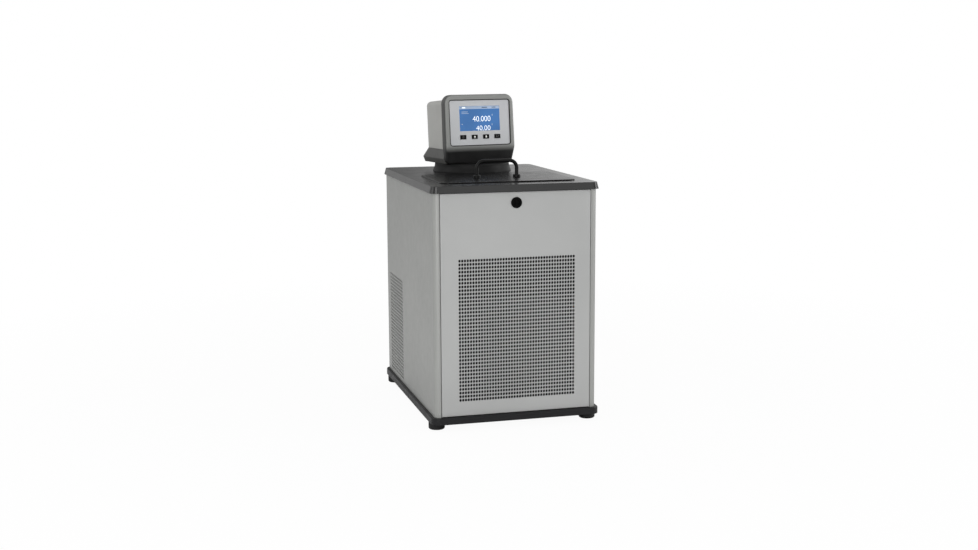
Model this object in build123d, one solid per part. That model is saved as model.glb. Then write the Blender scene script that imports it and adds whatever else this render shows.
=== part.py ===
from build123d import *
import math
import os

# Refrigerated circulating bath with a swivelling controller head.
# Millimetres. +X right, +Y to the rear, +Z up, standing on z = 0.
# Every piece is drawn with y = 0 on the face of the front panel; the last step moves all of them
# along Y, so that the origin lies under the middle of the whole object.

# Cabinet
cabinet_width = 355.5
cabinet_depth = 500.0
panel_height = 472.5
corner_radius = 11.5
corner_wrap = 14.2
sheet = 1.2
panel_gap = 1.0
flange = 12.0

# Base
foot_height = 15.5
foot_radius = 17.4
foot_sole_edge = 3.5
foot_top_edge = 1.5
foot_screw_hole = 5.0
foot_inset_x = 9.75
foot_inset_front = 30.0
foot_inset_rear = 28.5
tray_height = 14.5
tray_overhang = 7.3
tray_radius = 18.0
tray_wall = 4.0

# Deck and lid
deck_height = 14.5
deck_overhang = 6.1
deck_bevel = 3.9
deck_plate = 4.0
deck_radius = 17.0
lid_width = 297.0
lid_length = 213.0
lid_front = 45.0
lid_height = 2.6
lid_radius = 20.0
lid_lap = 28.0
opening_radius = 12.0
lid_plug = 9.0
handle_span = 89.5
handle_rise = 40.0
handle_rod = 4.0
handle_bend = 16.0
handle_x = -3.0
handle_y = 141.0
ferrule_radius = 8.3
ferrule_height = 5.8

# Punched grilles: each opening in the model stands for a block of the small punched holes
grille_center_x = 1.7
grille_bottom = 61.0
grille_columns = 43
grille_rows = 39
column_pitch = 5.93
row_pitch = 7.79
hole_width = 4.0
hole_height = 5.2
grille_blocks = (14, 10)
side_grille_front = 322.5
side_grille_bottom = 38.0
side_grille_columns = 24
side_grille_rows = 30
side_grille_blocks = (6, 6)

# Panel latch
latch_drop = 23.7
latch_radius = 11.7
latch_rim = 2.2
latch_stand = 1.6
latch_clear = 0.3
latch_sleeve = 1.2
rail_y = 12.3
rail_drop = 4.0
rail_height = 12.5

# Controller head, in its own frame: x across, y to its rear, z above the deck, on the swivel axis
axis_y = 367.5
head_turn = 12.6
head_tilt = 4.45
face_front = 51.7
head_width = 179.0
head_draft = 1.2
head_top = 176.8
head_corner = 20.0
bezel_depth = 17.5
bezel_edge = 6.0
bezel_wall = 4.6
bezel_flange = 7.0
chin_top = 56.0
chin_foot = 19.5
chin_foot_width = 169.0
chin_corner = 12.0
chin_recess = 10.0
chin_blend = 8.0
shell_width = 170.0
shell_top = 166.5
shell_rear = 117.0
shell_corner = 20.0
shell_edge = 11.0
shell_wall = 2.5
skirt_top = 52.6
skirt_knee = 31.0
skirt_foot = 19.5
skirt_flare_rear = 28.0
skirt_flare_side = 3.0
skirt_tuck = 4.0
pedestal_radius = 86.0
pedestal_flare = 4.5
pedestal_bore = 56.0
pedestal_height = 19.2
swivel_clear = 0.08

# Key panel, display and keys, measured along the face from the deck
key_panel_width = 153.0
key_panel_bottom = 61.9
key_panel_top = 163.4
key_panel_radius = 5.0
key_panel_thick = 1.4
key_panel_recess = 1.8
key_panel_groove = 1.2
display_depth = 7.0
board_thick = 1.6
display_width = 103.0
display_bottom = 94.0
display_top = 150.0
key_width = 15.0
key_height = 9.2
key_center = 80.2
key_pitch = 29.3
key_clear = 0.3
key_travel = 0.6

# Bath tank
tank_width = 250.0
tank_front = 50.0
tank_length = 390.0
tank_depth = 190.0
tank_radius = 25.0
tank_rim = 12.0
foam = 24.0
fit_gap = 0.3

# Pump, heater and sensors
motor_radius = 31.0
swivel_bore = 48.0
motor_height = 85.0
plate_radius = 55.0
plate_thick = 3.0
shaft_radius = 4.0
shaft_clear = 0.05
column_radius = 12.0
housing_radius = 34.0
housing_height = 28.0
housing_wall = 3.0
impeller_radius = 26.0
pump_floor_gap = 14.0
heater_radius = 4.0
coil_radius = 4.75
impeller_lift = 4.0
heater_feet = [(-38, -14), (-38, 14)]
probe_place = (34, -20)
probe_radius = 3.0
float_place = (30, 24)
stem_radius = 2.5
float_drop = 45.0
float_radius = 9.0
collar_radius = 5.5
coil_x = 100.0
coil_riser_step = 11.0
coil_behind = 222.0
coil_rise = 60.0
coil_pitch = 15.0
coil_turns = 4
coil_exit_drop = 48.0

# Fluid ports, power inlet and switch
pipe_radius = 6.0
pipe_bore = 4.5
pipe_x = 75.0
pipe_drop = 24.0
port_reach = 58.5
port_thread = 9.0
nut_height = 14.0
spigot_radius = 6.0
spigot_length = 30.0
spigot_chamfer = 0.8
inlet_x = -138.0
inlet_z = 300.0
inlet_width = 28.0
inlet_height = 20.0
switch_rise = 40.0
switch_width = 13.0
switch_height = 22.0
rocker_lean = 8.0
rear_slots = 14
rear_slot_length = 110.0
rear_slot_height = 5.0
rear_slot_pitch = 12.0

# Refrigeration
compressor_radius = 62.0
compressor_height = 165.0
compressor_x = 45.0
compressor_y = 395.0
grommet_height = 8.0
condenser_width = 260.0
condenser_height = 245.0
condenser_depth = 38.0
condenser_front = 24.0
fin_grooves = 19
fan_radius = 88.0
fan_ring_clear = 4.0
fan_shaft = 4.0
shroud_depth = 30.0
drier_bottom = 170.0
drier_length = 90.0
line_radius = 3.2
suction_x = 25.0
stub = 8.0
board_stand = 8.0

# Derived levels and faces
tray_bottom = foot_height
tray_top = tray_bottom + tray_height
panel_top = tray_top + panel_height
deck_top = panel_top + deck_height
deck_under = deck_top - deck_plate
half_width = cabinet_width / 2
seam_x = half_width - corner_wrap
tank_floor = deck_under - tank_depth
tank_rear = tank_front + tank_length
pipe_z = deck_under - pipe_drop
latch_z = panel_top - latch_drop
x_open = lid_width / 2 - lid_lap
bath_opening = (-x_open, x_open, lid_front + lid_lap, lid_front + lid_length - lid_lap)
lean = math.tan(math.radians(head_tilt))
skirt_rear = -face_front + shell_rear / math.cos(math.radians(head_tilt)) + skirt_top * lean
housing_bottom = tank_floor + pump_floor_gap
housing_top = housing_bottom + housing_height
impeller_z = housing_bottom + housing_wall + impeller_lift
float_level = deck_under - float_drop
panel_back = key_panel_recess + key_panel_thick
spout_reach = housing_radius + 8
port_inner_y = cabinet_depth - 10
coil_riser_x = coil_x + coil_riser_step
coil_front = tank_front + coil_behind
coil_low = tank_floor + coil_rise
coil_out_z = deck_under - coil_exit_drop
line_y = tank_rear + foam + 8
drop_y = line_y + 9
suction_z = tray_top + grommet_height + compressor_height + 15
discharge_z = tray_top + 120
discharge_reach = compressor_radius + stub
fan_z = tray_top + condenser_height / 2
switch_x = inlet_x
switch_z = inlet_z + switch_rise
front_y = -(cabinet_depth + port_reach - tray_overhang) / 2

FACE = Plane(
    origin=(0, -face_front, 0),
    x_dir=(1, 0, 0),
    z_dir=(0, -math.cos(math.radians(head_tilt)), math.sin(math.radians(head_tilt))),
)
HEAD = Location((0, axis_y, deck_top), (0, 0, head_turn))


def block_at(x0, x1, y0, y1, z0, z1):
    size = Box(x1 - x0, y1 - y0, z1 - z0)
    return Pos((x0 + x1) / 2, (y0 + y1) / 2, (z0 + z1) / 2) * size


def disc_at(radius, z0, z1, x=0.0, y=0.0):
    return Pos(x, y, (z0 + z1) / 2) * Cylinder(radius, z1 - z0)


def disc_along_y(radius, y0, y1, x=0.0, z=0.0):
    return Pos(x, (y0 + y1) / 2, z) * Rot(90, 0, 0) * Cylinder(radius, y1 - y0)


def disc_along_x(radius, x0, x1, y=0.0, z=0.0):
    return Pos((x0 + x1) / 2, y, z) * Rot(0, 90, 0) * Cylinder(radius, x1 - x0)


def rounded_slab(x0, x1, y0, y1, z0, z1, radius, taper=0):
    outline = Pos((x0 + x1) / 2, (y0 + y1) / 2, z0) * RectangleRounded(x1 - x0, y1 - y0, radius)
    return extrude(outline, z1 - z0, taper=taper)


def bent_tube(points, radius, bore=0.0):
    path = Polyline(*points)
    start = Plane(path @ 0, z_dir=path % 0)
    tube = sweep(start * Circle(radius), path, transition=Transition.RIGHT)
    if bore:
        tube -= sweep(start * Circle(bore), path, transition=Transition.RIGHT)
    return tube


def ring_of(count, radius, shape, start=0.0):
    return [Rot(0, 0, start + turn * 360 / count) * Pos(radius, 0, 0) * shape for turn in range(count)]


# Base

def base_tray():
    outer = half_width + tray_overhang
    rear = cabinet_depth + tray_overhang
    tray = rounded_slab(-outer, outer, -tray_overhang, rear, tray_bottom, tray_top, tray_radius)
    tray = fillet(tray.faces().sort_by(Axis.Z)[-1].edges(), 2.0)
    inner = outer - tray_wall
    tray -= rounded_slab(
        -inner, inner, tray_wall - tray_overhang, rear - tray_wall,
        tray_bottom, tray_top - tray_wall, tray_radius - tray_wall,
    )
    for x, y in foot_places():
        tray += disc_at(foot_radius - 2 * foot_top_edge, tray_bottom, tray_top - tray_wall, x, y)
    return tray


def foot_places():
    x = half_width - foot_inset_x
    return [(side * x, y) for side in (-1, 1) for y in (foot_inset_front, cabinet_depth - foot_inset_rear)]


def rubber_feet():
    foot = disc_at(foot_radius, 0, foot_height)
    foot = fillet(foot.edges().sort_by(Axis.Z)[0], foot_sole_edge)
    foot = fillet(foot.edges().sort_by(Axis.Z)[-1], foot_top_edge)
    foot -= disc_at(foot_screw_hole, -1, foot_height / 3)
    return [Pos(x, y, 0) * foot for x, y in foot_places()]


# Cabinet sheets

def wrapped_side(side):
    face = half_width - sheet / 2
    points = [
        (seam_x + panel_gap / 2 + sheet / 2, flange),
        (seam_x + panel_gap / 2 + sheet / 2, sheet / 2),
        (face, sheet / 2),
        (face, cabinet_depth - 1.5 * sheet),
        (face - flange, cabinet_depth - 1.5 * sheet),
    ]
    path = FilletPolyline(*points, radius=[0.9, corner_radius - sheet / 2, 2.0])
    wall = extrude(trace(path, sheet), panel_height)
    if side < 0:
        wall = mirror(wall, Plane.YZ)
    return Pos(0, 0, tray_top) * wall


def grille_openings(columns, rows, blocks, depth):
    across, up = blocks
    width = columns / across
    height = rows / up
    opening = Box(hole_width * width, depth, hole_height * height)
    places = GridLocations(column_pitch * width, row_pitch * height, across, up)
    return [Pos(p.position.X, 0, p.position.Y) * opening for p in places]


def side_panel(side):
    wall = wrapped_side(side)
    center_y = side_grille_front + side_grille_columns * column_pitch / 2
    center_z = side_grille_bottom + side_grille_rows * row_pitch / 2
    cutters = grille_openings(side_grille_columns, side_grille_rows, side_grille_blocks, 6 * sheet)
    place = Pos(side * (half_width - sheet / 2), center_y, center_z) * Rot(0, 0, 90)
    return wall - [place * cutter for cutter in cutters]


def front_panel():
    x = seam_x - panel_gap / 2
    z0 = tray_top + panel_gap
    z1 = panel_top - panel_gap
    pan = block_at(-x, x, 0, flange, z0, z1)
    pan = fillet(pan.edges().filter_by(Axis.Z).group_by(Axis.Y)[0], 0.8)
    pan -= block_at(-x + sheet, x - sheet, sheet, flange, z0 + sheet, z1 - sheet)
    center_z = grille_bottom + grille_rows * row_pitch / 2
    place = Pos(grille_center_x, sheet / 2, center_z)
    cutters = grille_openings(grille_columns, grille_rows, grille_blocks, 6 * sheet)
    pan -= [place * cutter for cutter in cutters]
    return pan - disc_along_y(latch_radius - latch_rim, -1, sheet + 1, 0, latch_z)


def rear_panel():
    x = half_width - 1.0
    y0 = cabinet_depth - sheet
    panel = block_at(-x, x, y0, cabinet_depth, tray_top, panel_top)
    slot = Box(rear_slot_length, 6 * sheet, rear_slot_height)
    for place in GridLocations(rear_slot_length + 40, rear_slot_pitch, 2, rear_slots):
        panel -= Pos(place.position.X, y0, fan_z + place.position.Y) * slot
    for side in (-1, 1):
        panel -= disc_along_y(port_thread, y0 - 1, cabinet_depth + 1, side * pipe_x, pipe_z)
    panel -= rear_box(inlet_x, inlet_z, inlet_width, inlet_height, -2 * sheet, 1)
    return panel - rear_box(switch_x, switch_z, switch_width, switch_height, -2 * sheet, 1)


def rear_box(x, z, width, height, near, far):
    y0, y1 = cabinet_depth + near, cabinet_depth + far
    return block_at(x - width / 2, x + width / 2, y0, y1, z - height / 2, z + height / 2)


def front_rail():
    x = half_width - sheet
    top = panel_top - rail_drop
    return block_at(-x, x, rail_y, rail_y + sheet, top - rail_height, top)


# Deck, lid and handle

def deck():
    outer = half_width + deck_overhang
    rear = cabinet_depth + deck_overhang
    slope = math.degrees(math.atan(deck_bevel / deck_height))
    cover = rounded_slab(
        -outer, outer, -deck_overhang, rear, panel_top, deck_top, deck_radius, taper=slope
    )
    inner = half_width - 3.0
    cover -= rounded_slab(-inner, inner, 3.0, cabinet_depth - 3.0, panel_top, deck_under, 8.0)
    cover -= rounded_slab(*bath_opening, panel_top, deck_top + 1, opening_radius)
    return cover - disc_at(plate_radius - 5, panel_top, deck_top + 1, 0, axis_y)


def lid():
    x = lid_width / 2
    rear = lid_front + lid_length
    cover = rounded_slab(-x, x, lid_front, rear, deck_top, deck_top + lid_height, lid_radius)
    cover = fillet(cover.faces().sort_by(Axis.Z)[-1].edges(), 1.5)
    x0, x1, y0, y1 = bath_opening
    plug = (x0 + 1, x1 - 1, y0 + 1, y1 - 1)
    cover += rounded_slab(*plug, deck_top - lid_plug, deck_top, opening_radius)
    hollow = (x0 + 3, x1 - 3, y0 + 3, y1 - 3)
    return cover - rounded_slab(
        *hollow, deck_top - lid_plug, deck_top - 0.5, opening_radius - 3
    )


def lid_handle():
    z0 = deck_top + lid_height
    top = z0 + handle_rise - handle_rod
    x = handle_span / 2
    path = FilletPolyline((-x, 0, z0), (-x, 0, top), (x, 0, top), (x, 0, z0), radius=handle_bend)
    rod = sweep(Plane(path @ 0, z_dir=path % 0) * Circle(handle_rod), path)
    return Pos(handle_x, handle_y, 0) * rod


def handle_ferrules():
    z0 = deck_top + lid_height
    ring = disc_at(ferrule_radius, z0, z0 + ferrule_height)
    ring = chamfer(ring.edges().sort_by(Axis.Z)[-1], 1.5)
    ring -= disc_at(handle_rod, z0, z0 + ferrule_height)
    return [Pos(handle_x + side * handle_span / 2, handle_y, 0) * ring for side in (-1, 1)]


# Panel latch

def latch_bezel():
    inner = latch_radius - latch_rim
    ring = disc_along_y(latch_radius, -latch_stand, 0, 0, latch_z)
    ring += disc_along_y(inner, 0, 6.0, 0, latch_z)
    return ring - disc_along_y(inner - latch_sleeve, -latch_stand - 1, 7, 0, latch_z)


def latch_knob():
    radius = latch_radius - latch_rim - latch_sleeve - latch_clear
    cam_y = rail_y + sheet + 0.5
    cam_top = panel_top - rail_drop - 1
    knob = disc_along_y(radius, -latch_stand, 6.0, 0, latch_z)
    knob -= block_at(-radius, -1.6, -latch_stand - 1, 0.8, latch_z - 5, latch_z + 5)
    knob -= block_at(1.6, radius, -latch_stand - 1, 0.8, latch_z - 5, latch_z + 5)
    knob += block_at(-3, 3, 6.0, cam_y, latch_z - 3, latch_z + 3)
    return knob + block_at(-5, 5, cam_y, cam_y + 2, latch_z - 4, cam_top)


# Controller head

def head_outline(grow=0.0):
    x = head_width / 2 + grow
    top_x = x - head_draft
    foot_x = chin_foot_width / 2 + grow
    points = [
        (-x, chin_top), (-top_x, head_top + grow), (top_x, head_top + grow), (x, chin_top),
        (foot_x, chin_foot - grow), (-foot_x, chin_foot - grow),
    ]
    corner = head_corner + grow
    foot_corner = chin_corner + grow
    path = FilletPolyline(
        *points, close=True, radius=[30, corner, corner, 30, foot_corner, foot_corner]
    )
    return FACE * make_face(path)


def chin_cutter(depth):
    drop = chin_top - chin_foot
    along = chin_blend / math.hypot(drop, chin_recess)
    start = Vector(chin_top + chin_blend, -depth)
    blend_end = Vector(chin_top - along * drop, -depth - along * chin_recess)
    foot = Vector(chin_foot, -depth - chin_recess)
    profile = TangentArc(start, blend_end, tangent=(-1, 0))
    profile += Polyline(blend_end, foot, (0, 1), (start.X, 1), start)
    side = Plane(FACE.origin, x_dir=FACE.y_dir, z_dir=(1, 0, 0))
    return extrude(side * make_face(profile), head_width, both=True)


def face_window(width, bottom, top, radius):
    outline = RectangleRounded(width, top - bottom, radius)
    return FACE * Pos(0, (bottom + top) / 2) * outline


def bezel():
    body = extrude(head_outline(), -bezel_depth) - chin_cutter(0)
    body = fillet(front_rim(body), bezel_edge)
    cavity = extrude(head_outline(-bezel_wall), bezel_wall - bezel_depth)
    front_skin = extrude(head_outline(1), -bezel_wall) + chin_cutter(bezel_wall)
    body -= cavity - front_skin
    body -= between(bezel_depth / 2, bezel_depth + 1, bezel_mouth())
    body -= extrude(key_panel_outline(key_panel_groove), -panel_back)
    body -= extrude(key_panel_outline(-6), -bezel_depth)
    return HEAD * (body - below(skirt_foot))


def front_rim(body):
    skin = body.faces().filter_by(lambda face: face.normal_at().dot(FACE.z_dir) > 0.8)
    edges = skin.edges()
    return [edge for edge in edges if edges.count(edge) == 1]


def key_panel_outline(grow):
    bottom = key_panel_bottom - grow
    return face_window(
        key_panel_width + 2 * grow, bottom, key_panel_top + grow, max(key_panel_radius + grow, 1)
    )


def bezel_mouth():
    width = shell_width - 2 * bezel_flange
    return face_window(width, chin_foot + bezel_flange, shell_top - bezel_flange + shell_wall, 12)


def between(near, far, outline):
    return extrude(outline, -far) - extrude(outline, -near)


def key_panel():
    plate = between(key_panel_recess, panel_back, key_panel_outline(0))
    plate -= extrude(
        face_window(display_width + 0.2, display_bottom - 0.1, display_top + 0.1, 1), -bezel_depth
    )
    for x in key_places():
        hole = FACE * Pos(x, key_center) * Rectangle(key_width + 2 * key_clear, key_height + 2 * key_clear)
        plate -= extrude(hole, -bezel_depth)
    return HEAD * plate


def key_places():
    return [key_pitch * (index - 1.5) for index in range(4)]


def display_window():
    outline = face_window(display_width, display_bottom, display_top, 0.9)
    return HEAD * between(key_panel_recess, panel_back, outline)


def display_module():
    outline = face_window(display_width + 6, display_bottom - 3, display_top + 3, 1)
    return HEAD * between(panel_back, panel_back + display_depth, outline)


def key(x):
    cap = FACE * Pos(x, key_center) * Rectangle(key_width, key_height)
    stem = FACE * Pos(x, key_center) * Rectangle(5, 4)
    body = between(key_panel_recess - key_travel - 0.2, panel_back, cap)
    return HEAD * (body + between(panel_back - 0.5, panel_back + 5.5, stem))


def control_board():
    front = panel_back + display_depth
    back = front + board_thick
    board = between(front, back, face_window(140, 88, 152, 2))
    board += between(back - 0.5, back + 12, face_window(22, 117, 133, 1))
    board += between(back - 0.5, back + 3, FACE * Pos(40, 120) * Rectangle(30, 30))
    return HEAD * board


def head_shell():
    outer = tilted_block(shell_width / 2, shell_top, bezel_depth, shell_rear)
    outer = fillet(outer.edges().filter_by(vertical_edge).sort_by(Axis.Y)[-2:], shell_corner)
    roof_edges = outer.faces().sort_by(Axis.Z)[-1].edges()
    outer = fillet(roof_edges.sort_by(Axis.Y)[1:], shell_edge)
    inner = tilted_block(
        shell_width / 2 - shell_wall, shell_top - shell_wall, bezel_depth - 1, shell_rear - shell_wall
    )
    inner = fillet(inner.edges().filter_by(vertical_edge).sort_by(Axis.Y)[-2:], shell_corner - shell_wall)
    roof_edges = inner.faces().sort_by(Axis.Z)[-1].edges()
    inner = fillet(roof_edges.sort_by(Axis.Y)[1:], shell_edge - shell_wall)
    shell = outer - inner
    return HEAD * (shell - below(skirt_top))


def below(level):
    return block_at(-head_width, head_width, -head_width, head_width, level - head_width, level)


def vertical_edge(edge):
    return abs((edge % 0).Z) > 0.9


def tilted_block(half, top, near, far):
    return between(near, far, FACE * Pos(0, top / 2) * Rectangle(2 * half, top))


def skirt_section(z, grow_side, grow_rear, radius, inset=0.0):
    half = shell_width / 2 + grow_side - inset
    rear = skirt_rear + grow_rear - inset
    front = -face_front - 10 + inset
    middle = (front + rear) / 2
    return Pos(0, middle, z) * RectangleRounded(2 * half, rear - front, radius)


def head_skirt():
    outer = loft_stack(0.0)
    inner = loft_stack(shell_wall)
    tub = outer - inner
    foot = disc_at(pedestal_bore - swivel_clear, skirt_foot - 6, skirt_foot + 1)
    foot -= disc_at(swivel_bore, skirt_foot - 7, skirt_foot + 2)
    tub += foot
    tub -= disc_at(swivel_bore, skirt_foot - 1, skirt_foot + shell_wall + 1)
    ahead = FACE * Pos(0, 0, -bezel_depth) * Rectangle(400, 400)
    return HEAD * (tub - extrude(ahead, 200))


def loft_stack(inset):
    top = skirt_section(skirt_top, 0, 0, shell_corner - inset, inset)
    knee = skirt_section(
        skirt_knee, skirt_flare_side, skirt_flare_rear, shell_corner + 5 - inset, inset
    )
    foot_grow = skirt_flare_side - skirt_tuck
    foot = skirt_section(
        skirt_foot + inset, foot_grow, skirt_flare_rear - skirt_tuck, shell_corner + 2 - inset, inset
    )
    return loft([foot, knee, top], ruled=True)


def pedestal():
    foot = pedestal_radius + pedestal_flare
    top = pedestal_height
    flare = Spline((foot, 1.5), (pedestal_radius, top - 2), tangents=[(-0.3, 1), (0, 1)])
    outline = flare + Polyline(
        (pedestal_radius, top - 2), (pedestal_radius - 1.5, top), (pedestal_bore, top),
        (pedestal_bore, 0), (foot, 0), (foot, 1.5),
    )
    return Pos(0, axis_y, deck_top) * revolve(Plane.XZ * make_face(outline), Axis.Z)


# Bath tank

def tank_form(grow, top):
    x = tank_width / 2 + grow
    return rounded_slab(
        -x, x, tank_front - grow, tank_rear + grow, tank_floor - grow, top, tank_radius + grow
    )


def bath_tank():
    tank = tank_form(sheet, deck_under)
    rim = tank_width / 2 + tank_rim
    tank += rounded_slab(
        -rim, rim, tank_front - tank_rim, tank_rear + tank_rim, deck_under - sheet, deck_under,
        tank_radius + tank_rim,
    )
    tank -= tank_form(0.0, deck_under + 1)
    return tank - rear_passages(pipe_radius + fit_gap, coil_radius + fit_gap)


def rear_passages(pipe_size, coil_size):
    y0, y1 = tank_rear - 10, cabinet_depth
    holes = [disc_along_y(pipe_size, y0, y1, side * pipe_x, pipe_z) for side in (-1, 1)]
    return holes + [disc_along_y(coil_size, y0, y1, x, coil_out_z) for x in (-coil_riser_x, coil_x)]


def tank_insulation():
    x = tank_width / 2 + foam
    block_of_foam = block_at(
        -x, x, tank_front - foam, tank_rear + foam, tank_floor - foam, deck_under - sheet - fit_gap
    )
    foam_part = block_of_foam - tank_form(sheet + fit_gap, deck_under + 1)
    return foam_part - rear_passages(pipe_radius + fit_gap, coil_radius + fit_gap)


def evaporator_coil():
    x = coil_x
    y0, y1 = coil_front, tank_rear - 3 * coil_radius
    riser = -coil_riser_x
    points = [(riser, line_y, coil_out_z), (riser, y1, coil_out_z), (riser, y1, coil_low)]
    points.append((riser, y0, coil_low))
    for turn in range(coil_turns):
        level = coil_low + turn * coil_pitch
        points += [(x, y0, level + coil_pitch / 4), (x, y1, level + coil_pitch / 2)]
        if turn < coil_turns - 1:
            points += [(-x, y1, level + 3 * coil_pitch / 4), (-x, y0, level + coil_pitch)]
    points += [(x, y1, coil_out_z), (x, line_y, coil_out_z)]
    return bent_tube(points, coil_radius)


# Pump

def motor_plate():
    plate = disc_at(plate_radius, deck_top, deck_top + plate_thick)
    plate -= disc_at(shaft_radius + 1, deck_top - 1, deck_top + 5)
    holes = [(place, heater_radius) for place in heater_feet]
    holes += [(probe_place, probe_radius), (float_place, stem_radius)]
    for (x, y), radius in holes:
        plate -= disc_at(radius + fit_gap, deck_top - 1, deck_top + 5, x, y)
    return Pos(0, axis_y, 0) * plate


def pump_motor():
    z0 = deck_top + plate_thick
    body = disc_at(motor_radius, z0, z0 + motor_height)
    body = chamfer(body.edges().sort_by(Axis.Z)[-1], 5)
    body -= disc_at(shaft_radius + shaft_clear, z0 - 1, z0 + 30)
    return Pos(0, axis_y, 0) * body


def pump_shaft():
    return disc_at(shaft_radius, impeller_z, deck_top + plate_thick + 28, 0, axis_y)


def pump_column():
    tube = disc_at(column_radius, housing_top, deck_top) - disc_at(
        shaft_radius + 1, housing_top - 1, deck_top + 1
    )
    return Pos(0, axis_y, 0) * tube


def pump_housing():
    body = disc_at(housing_radius, housing_bottom, housing_top)
    body -= disc_at(housing_radius - housing_wall, housing_bottom + housing_wall, housing_top - housing_wall)
    body -= disc_at(shaft_radius + 1, housing_top - housing_wall - 1, housing_top + 1)
    body -= disc_at(12, housing_bottom - 1, housing_bottom + housing_wall + 1)
    spout_z = (housing_bottom + housing_top) / 2
    spout = disc_along_x(pipe_radius + 2, 0, spout_reach, 0, spout_z)
    body += spout - disc_at(housing_radius - 1, housing_bottom, housing_top)
    body -= disc_along_x(pipe_bore, 5, spout_reach + 1, 0, spout_z)
    return Pos(0, axis_y, 0) * body


def impeller():
    z0 = impeller_z
    hub = disc_at(shaft_radius + 4, z0, z0 + 12)
    hub += disc_at(impeller_radius, z0 + 9, z0 + 12)
    vane = block_at(0, impeller_radius - shaft_radius - 3, -1, 1, z0, z0 + 9)
    for arm in ring_of(6, shaft_radius + 2, vane):
        hub += arm
    hub -= disc_at(shaft_radius, z0 - 1, z0 + 13)
    return Pos(0, axis_y, 0) * hub


def heater_coil():
    z_top, z_low = deck_top + plate_thick + 6, tank_floor + 10
    loop = [(-52, -18), (-36, -52), (36, -52), (52, -18), (52, 40), (30, 50), (-30, 50), (-52, 40)]
    first, last = heater_feet
    points = [(*first, z_top), (*first, z_low + 60), (-52, -18, z_low + 30)]
    points += [(x, y, z_low) for x, y in loop]
    points += [(-52, 10, z_low + 12), (*last, z_low + 60), (*last, z_top)]
    return Pos(0, axis_y, 0) * bent_tube(points, heater_radius)


def collar(x, y):
    z0 = deck_top + plate_thick
    return disc_at(collar_radius, z0, z0 + 5, x, y)


def temperature_probe():
    rod = disc_at(probe_radius, tank_floor + 60, deck_top + plate_thick + 4, *probe_place)
    return Pos(0, axis_y, 0) * (rod + collar(*probe_place))


def float_stem():
    rod = disc_at(stem_radius, float_level - 18, deck_top + plate_thick + 4, *float_place)
    rod += disc_at(stem_radius + 2.5, float_level - 18, float_level - 15, *float_place)
    return Pos(0, axis_y, 0) * (rod + collar(*float_place))


def level_float():
    ball = disc_at(float_radius, float_level - 14.7, float_level + 3, *float_place)
    ball = chamfer(ball.edges().filter_by(GeomType.CIRCLE), 2)
    ball -= disc_at(stem_radius + shaft_clear, float_level - 20, float_level + 10, *float_place)
    return Pos(0, axis_y, 0) * ball


# Fluid pipes and ports

def supply_pipe():
    spout_z = (housing_bottom + housing_top) / 2
    points = [
        (spout_reach, axis_y, spout_z), (pipe_x, axis_y, spout_z),
        (pipe_x, axis_y, pipe_z), (pipe_x, port_inner_y, pipe_z),
    ]
    return bent_tube(points, pipe_radius, pipe_bore)


def return_pipe():
    points = [(-pipe_x, axis_y, tank_floor + 90), (-pipe_x, axis_y, pipe_z), (-pipe_x, port_inner_y, pipe_z)]
    return bent_tube(points, pipe_radius, pipe_bore)


def hose_port(side):
    y0 = port_inner_y
    end = cabinet_depth + port_reach
    body = disc_along_y(port_thread - 0.2, y0, cabinet_depth + 1)
    nut = extrude(Plane.XZ * RegularPolygon(port_thread + 3, 6), -nut_height)
    body += Pos(0, cabinet_depth, 0) * nut
    body += disc_along_y(port_thread, cabinet_depth + nut_height, end - spigot_length)
    body += disc_along_y(spigot_radius, cabinet_depth + nut_height, end)
    body = chamfer(body.edges().sort_by(Axis.Y)[-1], spigot_chamfer)
    body -= disc_along_y(pipe_bore, y0 - 1, end + 1)
    return Pos(side * pipe_x, 0, pipe_z) * body


# Power inlet and switch

def power_inlet():
    body = rear_box(inlet_x, inlet_z, inlet_width - 0.6, inlet_height - 0.6, -20, 1)
    body += rear_box(inlet_x, inlet_z, 48, 23, 0, 3)
    cavity = rear_box(inlet_x, inlet_z, 24, 16, -15, 4)
    body -= chamfer(cavity.edges().filter_by(Axis.Y).group_by(Axis.Z)[-1], 4)
    return body - inlet_pins()


def inlet_pins():
    places = [(-7, -1.5), (0, 2.5), (7, -1.5)]
    return [rear_box(inlet_x + x, inlet_z + z, 2, 4, -26, -1) for x, z in places]


def switch_frame():
    frame = rear_box(switch_x, switch_z, switch_width - 0.4, switch_height - 0.4, -18, 1)
    frame += rear_box(switch_x, switch_z, switch_width + 5, switch_height + 5, 0, 2)
    return frame - rear_box(switch_x, switch_z, switch_width - 3.2, switch_height - 3.2, -8, 3)


def power_switch():
    half = switch_height / 2 - 1.9
    width = switch_width / 2 - 2.0
    profile = make_face(
        Polyline((-3, -half), (3.2, -half), (0.6, 0), (3.2, half), (-3, half), close=True)
    )
    rocker = extrude(Plane.YZ * profile, width, both=True)
    rocker = rocker & (Rot(0, 90, 0) * Cylinder(half, 12))
    return Pos(switch_x, cabinet_depth, switch_z) * Rot(-rocker_lean, 0, 0) * rocker


# Refrigeration

def compressor():
    z0 = tray_top + grommet_height
    r = compressor_radius
    top = z0 + 3 + compressor_height
    points = [
        (0, z0 + 3), (r * 0.7, z0 + 3), (r * 0.96, z0 + 14), (r, z0 + 30), (r, top - 34),
        (r * 0.93, top - 16), (r * 0.7, top - 4), (0, top),
    ]
    shell = revolve(Plane.XZ * make_face(Polyline(*points, close=True)), Axis.Z)
    shell += Pos(0, 0, z0 + 1.5) * Box(150, 110, 3)
    shell += disc_at(coil_radius, top - 10, suction_z, suction_x, 0)
    shell += disc_along_x(line_radius + 1, r - stub, discharge_reach, 0, discharge_z)
    return Pos(compressor_x, compressor_y, 0) * shell


def compressor_mounts():
    return [
        disc_at(9, tray_top, tray_top + grommet_height, compressor_x + x, compressor_y + y)
        for x in (-62, 62) for y in (-42, 42)
    ]


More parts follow.
